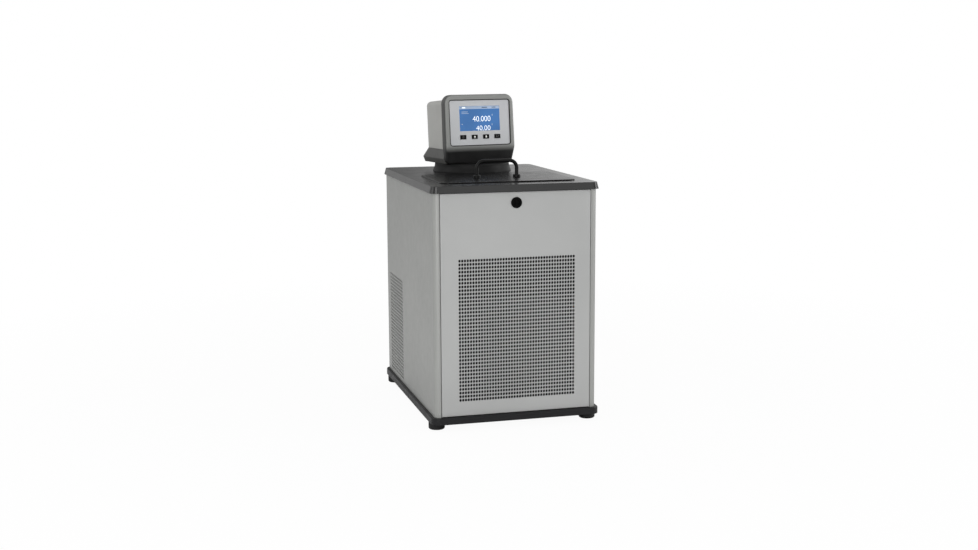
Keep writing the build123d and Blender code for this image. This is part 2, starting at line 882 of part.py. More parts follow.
def condenser():
    x = condenser_width / 2
    y0, y1 = condenser_front, condenser_front + condenser_depth
    top = tray_top + condenser_height
    core = block_at(-x, x, y0 + 3, y1 - 3, tray_top + 8, top - 4)
    for index in range(fin_grooves):
        groove_x = -x + (index + 1) * condenser_width / (fin_grooves + 1)
        core -= block_at(groove_x - 2.5, groove_x + 2.5, y0, y0 + 9, tray_top + 8, top - 4)
    for side in (-1, 1):
        end = block_at(-1.5, 1.5, y0, y1, tray_top, top)
        core += Pos(side * (x + 1.0), 0, 0) * end
    return core


def fan_shroud():
    x = condenser_width / 2
    y0 = condenser_front + condenser_depth
    z1 = tray_top + condenser_height
    box = block_at(-x, x, y0, y0 + shroud_depth, tray_top, z1)
    box -= block_at(-x + sheet, x - sheet, y0 - 1, y0 + shroud_depth - sheet, tray_top + sheet, z1 - sheet)
    box -= disc_along_y(fan_radius + fan_ring_clear, y0 + 2 * sheet, y0 + shroud_depth + 1, 0, fan_z)
    return box


def fan_bracket():
    y0 = condenser_front + condenser_depth + shroud_depth
    reach = fan_radius + fan_ring_clear + 12
    arms = block_at(-reach, reach, y0 + 24, y0 + 27, fan_z - 8, fan_z + 8)
    arms -= disc_along_y(fan_shaft + 1, y0 + 20, y0 + 30, 0, fan_z)
    for side in (-1, 1):
        x0, x1 = sorted((side * reach, side * (reach - 3)))
        arms += block_at(x0, x1, y0, y0 + 27, fan_z - 8, fan_z + 8)
    return arms


def fan_motor():
    y0 = condenser_front + condenser_depth + shroud_depth + 27
    body = disc_along_y(38, y0, y0 + 45, 0, fan_z)
    body += disc_along_y(14, y0 + 45, y0 + 55, 0, fan_z)
    return body + disc_along_y(fan_shaft, y0 - 20, y0, 0, fan_z)


def fan_rotor():
    y0 = condenser_front + condenser_depth + shroud_depth
    hub = disc_at(24, 0, 18)
    blade = block_at(0, fan_radius - 20, -17, 17, -0.9, 0.9)
    for arm in ring_of(5, 20, Rot(30, 0, 0) * blade):
        hub += Pos(0, 0, 9) * arm
    hub = hub & disc_at(fan_radius, -20, 40)
    hub -= disc_at(fan_shaft + shaft_clear, -1, 19)
    return Pos(0, y0 + 22, fan_z) * Rot(90, 0, 0) * hub


def suction_line():
    x = compressor_x + suction_x
    points = [
        (coil_x, line_y, coil_out_z), (coil_x, drop_y, coil_out_z), (coil_x, drop_y, suction_z + 30),
        (x, compressor_y, suction_z + 30), (x, compressor_y, suction_z),
    ]
    return bent_tube(points, coil_radius)


def filter_drier():
    z0, z1 = drier_bottom, drier_bottom + drier_length
    body = disc_at(12, z0 + 12, z1 - 12)
    body += Pos(0, 0, z0 + 6) * Cone(coil_radius, 12, 12)
    body += Pos(0, 0, z1 - 6) * Cone(12, coil_radius, 12)
    return Pos(-coil_riser_x, drop_y, 0) * body


def liquid_line():
    x, y, z = -condenser_width / 2, condenser_front + condenser_depth / 2, tray_top + 30
    points = [
        (-coil_riser_x, drop_y, drier_bottom), (-coil_riser_x, drop_y, z), (x - 14, y + 76, z),
        (x - 14, y, z), (x - 2.5, y, z),
    ]
    return bent_tube(points, line_radius)


def capillary_line():
    x = -coil_riser_x
    points = [(x, line_y, coil_out_z), (x, drop_y, coil_out_z), (x, drop_y, drier_bottom + drier_length)]
    return bent_tube(points, coil_radius)


def discharge_line():
    x, y, z = condenser_width / 2, condenser_front + condenser_depth / 2, tray_top + condenser_height - 30
    points = [
        (compressor_x + discharge_reach, compressor_y, discharge_z),
        (x + 14, compressor_y, discharge_z), (x + 14, y + 106, z), (x + 14, y, z), (x + 2.5, y, z),
    ]
    return bent_tube(points, line_radius)


def power_board():
    x = -half_width + sheet + board_stand
    board = block_at(x, x + 1.6, 150, 290, tray_top + 60, tray_top + 200)
    board += block_at(x + 1.6, x + 30, 170, 215, tray_top + 80, tray_top + 130)
    board += block_at(x + 1.6, x + 18, 235, 275, tray_top + 90, tray_top + 112)
    return board


def board_standoffs():
    x0, x1 = -half_width + sheet, -half_width + sheet + board_stand
    return [
        Pos((x0 + x1) / 2, y, tray_top + z) * Rot(0, 90, 0) * Cylinder(4, x1 - x0)
        for y in (158, 282) for z in (68, 192)
    ]


PIECES = {
    "base_tray": base_tray,
    "rubber_feet": rubber_feet,
    "side_panel_left": lambda: side_panel(-1),
    "side_panel_right": lambda: side_panel(1),
    "front_panel": front_panel,
    "rear_panel": rear_panel,
    "front_rail": front_rail,
    "deck": deck,
    "lid": lid,
    "lid_handle": lid_handle,
    "handle_ferrules": handle_ferrules,
    "latch_bezel": latch_bezel,
    "latch_knob": latch_knob,
    "pedestal": pedestal,
    "head_skirt": head_skirt,
    "head_shell": head_shell,
    "bezel": bezel,
    "key_panel": key_panel,
    "display_window": display_window,
    "display_module": display_module,
    "key_power": lambda: key(key_places()[0]),
    "key_down": lambda: key(key_places()[1]),
    "key_up": lambda: key(key_places()[2]),
    "key_enter": lambda: key(key_places()[3]),
    "control_board": control_board,
    "bath_tank": bath_tank,
    "tank_insulation": tank_insulation,
    "evaporator_coil": evaporator_coil,
    "motor_plate": motor_plate,
    "pump_motor": pump_motor,
    "pump_shaft": pump_shaft,
    "pump_column": pump_column,
    "pump_housing": pump_housing,
    "impeller": impeller,
    "heater_coil": heater_coil,
    "temperature_probe": temperature_probe,
    "float_stem": float_stem,
    "level_float": level_float,
    "supply_pipe": supply_pipe,
    "return_pipe": return_pipe,
    "supply_port": lambda: hose_port(1),
    "return_port": lambda: hose_port(-1),
    "power_inlet": power_inlet,
    "inlet_pins": inlet_pins,
    "switch_frame": switch_frame,
    "power_switch": power_switch,
    "compressor": compressor,
    "compressor_mounts": compressor_mounts,
    "condenser": condenser,
    "fan_shroud": fan_shroud,
    "fan_bracket": fan_bracket,
    "fan_motor": fan_motor,
    "fan_rotor": fan_rotor,
    "suction_line": suction_line,
    "filter_drier": filter_drier,
    "liquid_line": liquid_line,
    "capillary_line": capillary_line,
    "discharge_line": discharge_line,
    "power_board": power_board,
    "board_standoffs": board_standoffs,
}

os.makedirs("parts", exist_ok=True)
for name, make in PIECES.items():
    made = make()
    solids = made if isinstance(made, list) else [made]
    whole = Compound(children=[Pos(0, front_y, 0) * solid for solid in solids])
    export_step(whole, f"parts/{name}.step")
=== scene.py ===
import math

import bmesh
import bpy
from mathutils import Matrix, Vector


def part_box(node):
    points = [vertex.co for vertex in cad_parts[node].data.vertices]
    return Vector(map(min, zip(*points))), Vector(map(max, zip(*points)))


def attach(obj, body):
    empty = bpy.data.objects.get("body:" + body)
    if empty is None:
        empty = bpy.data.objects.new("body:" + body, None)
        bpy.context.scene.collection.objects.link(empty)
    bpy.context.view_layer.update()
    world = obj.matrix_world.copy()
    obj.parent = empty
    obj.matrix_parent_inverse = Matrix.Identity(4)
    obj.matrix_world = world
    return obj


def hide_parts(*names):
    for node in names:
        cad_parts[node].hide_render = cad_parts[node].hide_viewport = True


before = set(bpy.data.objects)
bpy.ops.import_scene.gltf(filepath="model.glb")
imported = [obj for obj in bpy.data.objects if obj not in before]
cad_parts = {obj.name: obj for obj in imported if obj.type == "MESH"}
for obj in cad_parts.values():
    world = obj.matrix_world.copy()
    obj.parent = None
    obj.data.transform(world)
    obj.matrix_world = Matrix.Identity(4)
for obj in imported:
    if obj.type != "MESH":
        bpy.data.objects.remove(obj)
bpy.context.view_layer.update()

MM = 0.001

# Camera of the photograph: place in metres, turns in degrees, lens and sensor in millimetres
CAMERA_PLACE = Vector((-0.7969, -2.9898, 0.7832))
CAMERA_YAW = 15.194
CAMERA_DOWN = 9.171
CAMERA_ROLL = -0.241
CAMERA_LENS = 50.33
SENSOR_WIDTH = 36.0

# Controller head: how far it is swivelled and its face leans back
HEAD_TURN = 12.6
FACE_LEAN = 4.45
FACE_FRONT = 51.7 * MM

# Sheet metal
SHEET = 1.2 * MM
FOLD = 12.0 * MM
CORNER_RADIUS = 11.5 * MM
CORNER_STEPS = 14
PAN_BEND = 1.0 * MM
SEAM_BEND = 1.5 * MM
REAR_BEND = 2.6 * MM
BEND_STEPS = 4
LATCH_LIP = 2.2 * MM

# Dark block over the condenser, painted shade for the unlit inside of the cabinet
SHADE_BLOCK_DEPTH = 10.0 * MM

# Punched grilles; a hole's corner radius is a share of its width
COLUMN_PITCH = 5.93 * MM
ROW_PITCH = 7.79 * MM
HOLE_WIDTH = 4.9 * MM
HOLE_HEIGHT = 6.2 * MM
HOLE_ROUND = 0.46
HOLE_STEPS = 2
FRONT_COLUMNS = 43
FRONT_ROWS = 39
FRONT_GRILLE_MIDDLE = 1.7 * MM
FRONT_GRILLE_BOTTOM = 61.0 * MM
SIDE_COLUMNS = 24
SIDE_ROWS = 30
SIDE_GRILLE_START = 322.5 * MM
SIDE_GRILLE_BOTTOM = 38.0 * MM

# World light: its diffuse strength, and what gloss sees from the dim room to the white backdrop.
# Each pair is one part of a unit direction, from where the backdrop starts to where it is full.
WORLD_LIGHT = 0.55
GLOSS_ROOM = 0.2
GLOSS_BEHIND = (-0.25, 0.35)
GLOSS_RIGHT = (0.19, 0.38)
GLOSS_LEFT = (-0.05, -0.3)
GLOSS_LEFT_LEVEL = 0.6

# Floor: how white the camera sees it close by, the distances over which it fades to white, its reach
FLOOR_WHITE = 0.95
FLOOR_FADE = (0.7, 1.8)
FLOOR_REACH = 30.0

# Lamps: place, target and size in metres, power in watts
LAMPS = {
    "key": ((-1.5, -3.0, 1.1), (0, 0, 0.2), (1.6, 1.8), 33),
    "front": ((0.85, -2.9, 1.75), (0, 0, 0.45), (2.6, 1.6), 11),
    "right": ((3.0, -1.0, 1.2), (0, 0, 0.3), (1.2, 1.6), 26),
    "fill": ((-3.2, -0.4, 2.4), (0, 0, 0.5), (2.0, 2.4), 22),
    "overhead": ((0.2, 0.6, 2.6), (0, 0, 0.4), (2.4, 2.4), 12),
}

# Head frame's painted shade: the share of its light colour that its shaded outer edges keep, and how
# forward a face looks
EDGE_SHADE = 0.16
FRONT_FACING = (0.5, 0.93)

# Meshes: the angle from which an edge is sharp, and the slack when two lengths are compared
SHARP_ANGLE = math.radians(32)
NEAR = 1e-9

# Places and directions worked out from the frame
PANEL_LOW, PANEL_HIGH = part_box("front_panel")
SIDE_LOW, SIDE_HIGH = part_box("side_panel_right")
DECK_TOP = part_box("deck")[1].z
# Heights between which the painted shade on the head's chin gives way to its light colour
CHIN_SHADE_LEVELS = (DECK_TOP + 46 * MM, DECK_TOP + 60 * MM)
HEAD_AXIS = sum(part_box("pedestal"), Vector()) / 2
FACE_OUT = (
    math.sin(math.radians(HEAD_TURN)) * math.cos(math.radians(FACE_LEAN)),
    -math.cos(math.radians(HEAD_TURN)) * math.cos(math.radians(FACE_LEAN)),
    math.sin(math.radians(FACE_LEAN)),
)


# Materials

class Surface:
    """A node material with one shader, its texture coordinates and helpers to drive them."""

    def __init__(self, name, rough, metal=0.0):
        self.material = bpy.data.materials.new(name)
        self.material.use_nodes = True
        self.tree = self.material.node_tree
        self.shader = self.tree.nodes["Principled BSDF"]
        self.shader.inputs["Roughness"].default_value = rough
        self.shader.inputs["Metallic"].default_value = metal
        self.coordinates = self.tree.nodes.new("ShaderNodeTexCoord").outputs
        self.place = self.coordinates["Object"]
        self.normal = None

    def add(self, kind, **values):
        node = self.tree.nodes.new(kind)
        for key, value in values.items():
            setattr(node, key, value)
        return node

    def link(self, source, target):
        self.tree.links.new(source, target)

    def noise(self, scale, detail=2.0, stretch=None):
        node = self.add("ShaderNodeTexNoise")
        node.inputs["Scale"].default_value = scale
        node.inputs["Detail"].default_value = detail
        place = self.place
        if stretch:
            mapping = self.add("ShaderNodeMapping")
            mapping.inputs["Scale"].default_value = stretch
            self.link(self.place, mapping.inputs["Vector"])
            place = mapping.outputs["Vector"]
        self.link(place, node.inputs["Vector"])
        return node.outputs["Fac"]

    def range(self, value, low, high, start=0.3, end=0.7):
        node = self.add("ShaderNodeMapRange")
        node.inputs["From Min"].default_value = start
        node.inputs["From Max"].default_value = end
        node.inputs["To Min"].default_value = low
        node.inputs["To Max"].default_value = high
        self.link(value, node.inputs["Value"])
        return node.outputs["Result"]

    def colour(self, dark, light, value):
        node = self.add("ShaderNodeMix", data_type="RGBA")
        node.inputs["A"].default_value = (*dark, 1)
        node.inputs["B"].default_value = (*light, 1)
        self.link(self.range(value, 0, 1), node.inputs["Factor"])
        self.link(node.outputs["Result"], self.shader.inputs["Base Color"])

    def rough(self, value, low, high):
        self.link(self.range(value, low, high), self.shader.inputs["Roughness"])

    def rounded(self, radius):
        node = self.add("ShaderNodeBevel", samples=6)
        node.inputs["Radius"].default_value = radius
        self.normal = node.outputs["Normal"]
        self.link(self.normal, self.shader.inputs["Normal"])

    def bump(self, value, height, strength=1.0):
        node = self.add("ShaderNodeBump")
        node.inputs["Strength"].default_value = strength
        node.inputs["Distance"].default_value = height
        self.link(value, node.inputs["Height"])
        if self.normal:
            self.link(self.normal, node.inputs["Normal"])
        self.normal = node.outputs["Normal"]
        self.link(self.normal, self.shader.inputs["Normal"])


def shade(colour, factor):
    return tuple(min(1.0, part * factor) for part in colour)


def painted_sheet(name, colour):
    made = Surface(name, 0.42, metal=0.35)
    made.colour(shade(colour, 0.96), shade(colour, 1.04), made.noise(5.0, 4.0))
    made.rough(made.noise(60.0), 0.38, 0.46)
    made.bump(made.noise(1400.0, 3.0), 0.02 * MM, 0.5)
    return made.material


def moulded_plastic(name, colour, rough, depth=0.03, edge=0.6, specular=0.5):
    """Plastic with a fine grain: depth and edge radius are in millimetres."""
    made = Surface(name, rough)
    made.shader.inputs["Specular IOR Level"].default_value = specular
    made.colour(shade(colour, 0.9), shade(colour, 1.1), made.noise(9.0, 5.0))
    made.rough(made.noise(45.0, 4.0), rough * 0.88, min(1.0, rough * 1.12))
    made.rounded(edge * MM)
    made.bump(made.noise(1600.0, 3.0), depth * MM, 0.6)
    return made.material


def plastic_with_painted_shade(name, dark, light, levels):
    """Plastic that is light where it faces forward, with painted shade that darkens its chin and its outer
    edges.
    """
    made = Surface(name, 0.36)
    split = made.add("ShaderNodeSeparateXYZ")
    made.link(made.place, split.inputs["Vector"])
    height = made.range(split.outputs["Z"], 0, 1, *levels)
    grain = made.range(made.noise(9.0, 5.0), -0.02, 0.02)
    facing = made.add("ShaderNodeVectorMath", operation="DOT_PRODUCT")
    facing.inputs[1].default_value = FACE_OUT
    made.link(made.coordinates["Normal"], facing.inputs[0])
    front = made.add("ShaderNodeMath", operation="MULTIPLY")
    made.link(height, front.inputs[0])
    made.link(made.range(facing.outputs["Value"], EDGE_SHADE, 1.0, *FRONT_FACING), front.inputs[1])
    share = made.add("ShaderNodeMath", operation="ADD", use_clamp=True)
    made.link(front.outputs[0], share.inputs[0])
    made.link(grain, share.inputs[1])
    mix = made.add("ShaderNodeMix", data_type="RGBA")
    mix.inputs["A"].default_value = (*dark, 1)
    mix.inputs["B"].default_value = (*light, 1)
    made.link(share.outputs[0], mix.inputs["Factor"])
    made.link(mix.outputs["Result"], made.shader.inputs["Base Color"])
    made.rough(made.noise(45.0, 4.0), 0.32, 0.42)
    made.rounded(0.6 * MM)
    made.bump(made.noise(1600.0, 3.0), 0.02 * MM, 0.5)
    return made.material


def soft_rubber(name, colour):
    made = Surface(name, 0.72)
    made.colour(shade(colour, 0.8), shade(colour, 1.4), made.noise(30.0, 5.0))
    made.rough(made.noise(80.0, 4.0), 0.62, 0.82)
    made.rounded(0.8 * MM)
    made.bump(made.noise(2600.0, 4.0), 0.05 * MM, 0.7)
    return made.material


def brushed_metal(name, colour, rough):
    made = Surface(name, rough, metal=1.0)
    lines = made.noise(90.0, 4.0, stretch=(1, 1, 40))
    made.colour(shade(colour, 0.9), shade(colour, 1.06), lines)
    made.rough(lines, rough * 0.8, rough * 1.25)
    made.rounded(0.3 * MM)
    made.bump(lines, 0.01 * MM, 0.5)
    return made.material


def membrane(name, colour):
    made = Surface(name, 0.36, metal=0.25)
    made.colour(shade(colour, 0.97), shade(colour, 1.03), made.noise(14.0, 3.0))
    made.rounded(0.5 * MM)
    made.bump(made.noise(3000.0, 2.0), 0.015 * MM, 0.5)
    return made.material


def glowing(name, colour, strength):
    made = Surface(name, 0.22)
    made.colour(shade(colour, 0.92), shade(colour, 1.08), made.noise(22.0, 2.0))
    mix = made.shader.inputs["Base Color"].links[0].from_socket
    made.link(mix, made.shader.inputs["Emission Color"])
    made.shader.inputs["Emission Strength"].default_value = strength
    return made.material


def foam(name, colour):
    made = Surface(name, 0.9)
    made.colour(shade(colour, 0.85), colour, made.noise(40.0, 6.0))
    made.bump(made.noise(500.0, 6.0), 0.4 * MM, 0.8)
    return made.material


BLACK_PLASTIC = moulded_plastic("black_plastic", (0.005, 0.005, 0.005), 0.38, specular=0.2)
LATCH_BLACK = moulded_plastic("latch_black", (0.002, 0.002, 0.002), 0.6, edge=0.3, specular=0.06)
TRAY_PLASTIC = moulded_plastic("tray_plastic", (0.009, 0.009, 0.010), 0.42, edge=1.2, specular=0.3)
DECK_PLASTIC = moulded_plastic("deck_plastic", (0.016, 0.016, 0.016), 0.22, edge=1.5, depth=0.006)
PEDESTAL_PLASTIC = moulded_plastic("pedestal_plastic", (0.006, 0.006, 0.006), 0.5, edge=1.0, specular=0.2)
LID_PLASTIC = moulded_plastic(
    "lid_plastic", (0.004, 0.004, 0.004), 0.24, edge=0.8, depth=0.006, specular=0.2
)
# Head frame: dark grey plastic with painted shade on its chin and its outer edges
HEAD_FRAME = plastic_with_painted_shade("head_frame", (0.009, 0.009, 0.009), (0.245, 0.25, 0.24), CHIN_SHADE_LEVELS)
HEAD_SKIRT = moulded_plastic("head_skirt", (0.062, 0.062, 0.059), 0.40, edge=2.0)
HEAD_LIGHT = moulded_plastic("head_light", (0.36, 0.36, 0.345), 0.45, edge=1.5)
KEY_BLACK = moulded_plastic("key_black", (0.003, 0.003, 0.003), 0.45, edge=0.3, specular=0.1)
SHEET_FRONT = painted_sheet("sheet_front", (0.445, 0.45, 0.445))
SHEET_SIDE = painted_sheet("sheet_side", (0.345, 0.350, 0.338))
# Inner sheet metal, kept dark as painted shade for the unlit inside of the cabinet
SHEET_INNER = brushed_metal("sheet_inner", (0.10, 0.10, 0.105), 0.55)
SILVER_PANEL = membrane("silver_panel", (0.565, 0.575, 0.59))
RUBBER = soft_rubber("rubber", (0.006, 0.006, 0.006))
STEEL = brushed_metal("steel", (0.60, 0.60, 0.60), 0.28)
COPPER = brushed_metal("copper", (0.80, 0.42, 0.28), 0.32)
# Condenser fins kept near black: the dark filter behind the grille, and painted shade for the unlit inside
FINS = moulded_plastic("fins", (0.004, 0.004, 0.005), 0.6)
# Black motor paint; on the fan's shroud and bracket its darkness is painted shade for the unlit inside
MOTOR_PAINT_AND_SHADE = moulded_plastic("motor_paint", (0.012, 0.012, 0.013), 0.45)
CIRCUIT = moulded_plastic("circuit", (0.02, 0.14, 0.05), 0.4)
NYLON = moulded_plastic("nylon", (0.62, 0.62, 0.58), 0.5)
FOAM = foam("foam", (0.012, 0.012, 0.013))
SCREEN_BLUE = glowing("screen_blue", (0.045, 0.135, 0.33), 0.42)
SCREEN_PALE = glowing("screen_pale", (0.30, 0.38, 0.50), 0.35)
SCREEN_WHITE = glowing("screen_white", (0.85, 0.90, 0.95), 0.6)
SCREEN_DARK = glowing("screen_dark", (0.02, 0.05, 0.12), 0.2)
# Print on the keys, which glows a little: painted light on the print
KEY_MARK = glowing("key_mark", (0.70, 0.70, 0.68), 0.2)
KEY_MARK_DIM = glowing("key_mark_dim", (0.14, 0.14, 0.14), 0.05)

CAD_MATERIALS = {
    TRAY_PLASTIC: ["base_tray"],
    RUBBER: ["rubber_feet", "compressor_mounts"],
    DECK_PLASTIC: ["deck"],
    PEDESTAL_PLASTIC: ["pedestal"],
    LID_PLASTIC: ["lid"],
    BLACK_PLASTIC: [
        "lid_handle", "handle_ferrules", "power_inlet", "switch_frame", "power_switch", "pump_housing",
        "impeller",
    ],
    LATCH_BLACK: ["latch_bezel", "latch_knob"],
    HEAD_FRAME: ["bezel"],
    HEAD_SKIRT: ["head_skirt"],
    HEAD_LIGHT: ["head_shell"],
    SILVER_PANEL: ["key_panel"],
    KEY_BLACK: ["key_power", "key_down", "key_up", "key_enter"],
    SCREEN_BLUE: ["display_window"],
    NYLON: ["display_module", "board_standoffs"],
    CIRCUIT: ["control_board", "power_board"],
    FOAM: ["tank_insulation"],
    STEEL: [
        "bath_tank", "evaporator_coil", "motor_plate", "pump_shaft", "pump_column", "heater_coil",
        "temperature_probe", "float_stem", "level_float", "supply_pipe", "return_pipe", "supply_port",
        "return_port", "inlet_pins",
    ],
    SHEET_SIDE: ["rear_panel", "front_panel", "side_panel_left", "side_panel_right"],
    SHEET_INNER: ["front_rail"],
    MOTOR_PAINT_AND_SHADE: ["pump_motor", "compressor", "fan_motor", "fan_rotor", "fan_shroud", "fan_bracket"],
    FINS: ["condenser"],
    COPPER: ["suction_line", "filter_drier", "liquid_line", "capillary_line", "discharge_line"],
}


def paint_cad_nodes():
    for material, names in CAD_MATERIALS.items():
        for name in names:
            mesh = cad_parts[name].data
            mesh.materials.clear()
            mesh.materials.append(material)
            mesh.shade_smooth()


# Mesh helpers

def new_piece(name, shape, material, body):
    bmesh.ops.recalc_face_normals(shape, faces=shape.faces)
    for edge in shape.edges:
        edge.smooth = len(edge.link_faces) == 2 and edge.calc_face_angle(math.pi) < SHARP_ANGLE
    for face in shape.faces:
        face.smooth = True
    mesh = bpy.data.meshes.new(name)
    shape.to_mesh(mesh)
    shape.free()
    mesh.materials.append(material)
    piece = bpy.data.objects.new(name, mesh)
    bpy.context.scene.collection.objects.link(piece)
    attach(piece, body)
    return piece


class Sheet:
    """A thin sheet drawn in its own flat plane: u along it, v up it, w into its back."""

    def __init__(self, place):
        self.shape = bmesh.new()
        self.place = place
        self.points = {}

    def point(self, u, v, w=0.0):
        key = (round(u, 7), round(v, 7), round(w, 7))
        if key not in self.points:
            self.points[key] = self.shape.verts.new(self.place(u, v, w))
        return self.points[key]

    def both(self, outline):
        for depth in (0.0, SHEET):
            corners = [self.point(u, v, depth) for u, v in outline]
            self.shape.faces.new(corners if depth == 0.0 else corners[::-1])

    def wall(self, outline):
        for (u0, v0), (u1, v1) in zip(outline, outline[1:] + outline[:1]):
            self.shape.faces.new([
                self.point(u0, v0), self.point(u0, v0, SHEET),
                self.point(u1, v1, SHEET), self.point(u1, v1),
            ])

    def hole(self, u, v):
        """One cell of a grille: a rounded hole in the middle of its four corners."""
        half_u, half_v = COLUMN_PITCH / 2, ROW_PITCH / 2
        inner = rounded_hole(u, v)
        per_side = len(inner) // 4
        corners = [(u + half_u, v + half_v), (u - half_u, v + half_v)]
        corners += [(u - half_u, v - half_v), (u + half_u, v - half_v)]
        for side in range(4):
            arc = inner[side * per_side:(side + 1) * per_side]
            self.both([corners[side]] + arc[::-1])
            after = inner[(side + 1) % 4 * per_side]
            self.both([corners[side], corners[(side + 1) % 4], after, arc[-1]][::-1])
        self.wall(inner)

    def grille(self, u0, v0, columns, rows):
        for column in range(columns):
            for row in range(rows):
                self.hole(u0 + (column + 0.5) * COLUMN_PITCH, v0 + (row + 0.5) * ROW_PITCH)
        u_lines = [u0 + column * COLUMN_PITCH for column in range(columns + 1)]
        v_lines = [v0 + row * ROW_PITCH for row in range(rows + 1)]
        return u_lines, v_lines


def rounded_hole(u, v):
    radius = HOLE_WIDTH * HOLE_ROUND
    reach_u, reach_v = HOLE_WIDTH / 2 - radius, HOLE_HEIGHT / 2 - radius
    outline = []
    for quarter, (side_u, side_v) in enumerate([(1, 1), (-1, 1), (-1, -1), (1, -1)]):
        for step in range(HOLE_STEPS + 1):
            angle = math.pi / 2 * (quarter + step / HOLE_STEPS)
            outline.append((
                u + side_u * reach_u + radius * math.cos(angle),
                v + side_v * reach_v + radius * math.sin(angle),
            ))
    return outline


# Front panel: a folded pan with the punched grille and the latch hole

def front_sheet():
    middle = (PANEL_LOW.x + PANEL_HIGH.x) / 2
    left, right = PANEL_LOW.x + SHEET, PANEL_HIGH.x - SHEET
    bottom, top = PANEL_LOW.z + SHEET, PANEL_HIGH.z - SHEET
    sheet = Sheet(lambda u, v, w: (u, PANEL_LOW.y + w, v))
    u0 = middle + FRONT_GRILLE_MIDDLE - FRONT_COLUMNS * COLUMN_PITCH / 2
    u_lines, v_lines = sheet.grille(u0, FRONT_GRILLE_BOTTOM, FRONT_COLUMNS, FRONT_ROWS)
    low, high = v_lines[0], v_lines[-1]
    near, far = u_lines[0], u_lines[-1]
    sheet.both([(near, low), (near, bottom), (far, bottom)] + [(u, low) for u in u_lines[:0:-1]])
    sheet.both([(near, bottom), *[(near, v) for v in v_lines], (left, high), (left, low), (left, bottom)])
    right_edge = [(far, bottom), (right, bottom), (right, low), (right, high)]
    sheet.both([(far, v) for v in v_lines[::-1]] + right_edge)
    ring = latch_ring()
    right_half = sorted([point for point in ring if point[0] > -NEAR], key=lambda point: -point[1])
    left_half = sorted([point for point in ring if point[0] < NEAR], key=lambda point: point[1])
    middle_line = min(range(len(u_lines)), key=lambda index: abs(u_lines[index]))
    upper_right = [(u, high) for u in u_lines[middle_line:]] + [(right, high), (right, top), (0.0, top)]
    upper_left = [(left, high)] + [(u, high) for u in u_lines[:middle_line + 1]]
    sheet.both(upper_right + right_half)
    sheet.both(upper_left + left_half + [(0.0, top), (left, top)])
    sheet.wall(ring)
    add_pan_folds(sheet.shape)
    piece = new_piece("front_sheet", sheet.shape, SHEET_FRONT, "cabinet")
    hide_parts("front_panel")


def latch_ring():
    """The edge of the hole for the latch, clockwise from its top as points (x, z)."""
    count = 32
    low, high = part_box("latch_bezel")
    z = (low.z + high.z) / 2
    radius = (high.x - low.x) / 2 - LATCH_LIP
    angles = [math.pi * 2 * step / count for step in range(count)]
    return [(radius * math.sin(angle), z + radius * math.cos(angle)) for angle in angles]


def add_pan_folds(shape):
    """The four folded edges of the pan, each a bent strip with a rounded bend."""
    x0, x1, z0, z1 = PANEL_LOW.x, PANEL_HIGH.x, PANEL_LOW.z, PANEL_HIGH.z
    y0, y1 = PANEL_LOW.y, PANEL_LOW.y + FOLD
    corners = [(x0, z0), (x1, z0), (x1, z1), (x0, z1)]
    centre = Vector(((x0 + x1) / 2, (z0 + z1) / 2))
    rings = []
    profile = [(SHEET, 0.0)]
    profile += [
        (PAN_BEND * (1 - math.sin(angle)), PAN_BEND * (1 - math.cos(angle)))
        for angle in (0.3, 0.7, 1.1, math.pi / 2)
    ]
    profile += [(0.0, y1 - y0), (SHEET, y1 - y0), (SHEET, SHEET)]
    for inset, depth in profile:
        ring = []
        for x, z in corners:
            inward = (1 if x < centre.x else -1, 1 if z < centre.y else -1)
            ring.append(shape.verts.new((x + inward[0] * inset, y0 + depth, z + inward[1] * inset)))
        rings.append(ring)
    for here, after in zip(rings, rings[1:]):
        for side in range(4):
            other = (side + 1) % 4
            shape.faces.new([here[side], here[other], after[other], after[side]])
    bmesh.ops.remove_doubles(shape, verts=shape.verts, dist=1e-6)


# Side panels: one sheet wrapped round the front corner, with a punched grille to the rear

def side_profile(side):
    """Points (x, y, outward normal) of the sheet's outer face, from the front fold to the rear fold."""
    outer = SIDE_HIGH.x
    front = SIDE_LOW.y
    seam = SIDE_LOW.x
    points = [((seam, front + FOLD), (-1, 0)), ((seam, front + SEAM_BEND), (-1, 0))]
    for step in range(1, BEND_STEPS + 1):
        angle = math.pi / 2 * step / BEND_STEPS
        points.append((
            (seam + SEAM_BEND * (1 - math.cos(angle)), front + SEAM_BEND * (1 - math.sin(angle))),
            (-math.cos(angle), -math.sin(angle)),
        ))
    centre = (outer - CORNER_RADIUS, front + CORNER_RADIUS)
    for step in range(CORNER_STEPS + 1):
        angle = math.pi / 2 * step / CORNER_STEPS
        points.append((
            (centre[0] + CORNER_RADIUS * math.sin(angle), centre[1] - CORNER_RADIUS * math.cos(angle)),
            (math.sin(angle), -math.cos(angle)),
        ))
    start = front + SIDE_GRILLE_START
    rear = SIDE_HIGH.y
    points.append(((outer, start), (1, 0)))
    points.append(((outer, start + SIDE_COLUMNS * COLUMN_PITCH), (1, 0)))
    for step in range(BEND_STEPS + 1):
        angle = math.pi / 2 * step / BEND_STEPS
        points.append((
            (outer - REAR_BEND * (1 - math.cos(angle)), rear - REAR_BEND * (1 - math.sin(angle))),
            (math.cos(angle), math.sin(angle)),
        ))
    points.append(((outer - FOLD, rear), (0, 1)))
    return [(side * x, y, side * nx, ny) for (x, y), (nx, ny) in points]


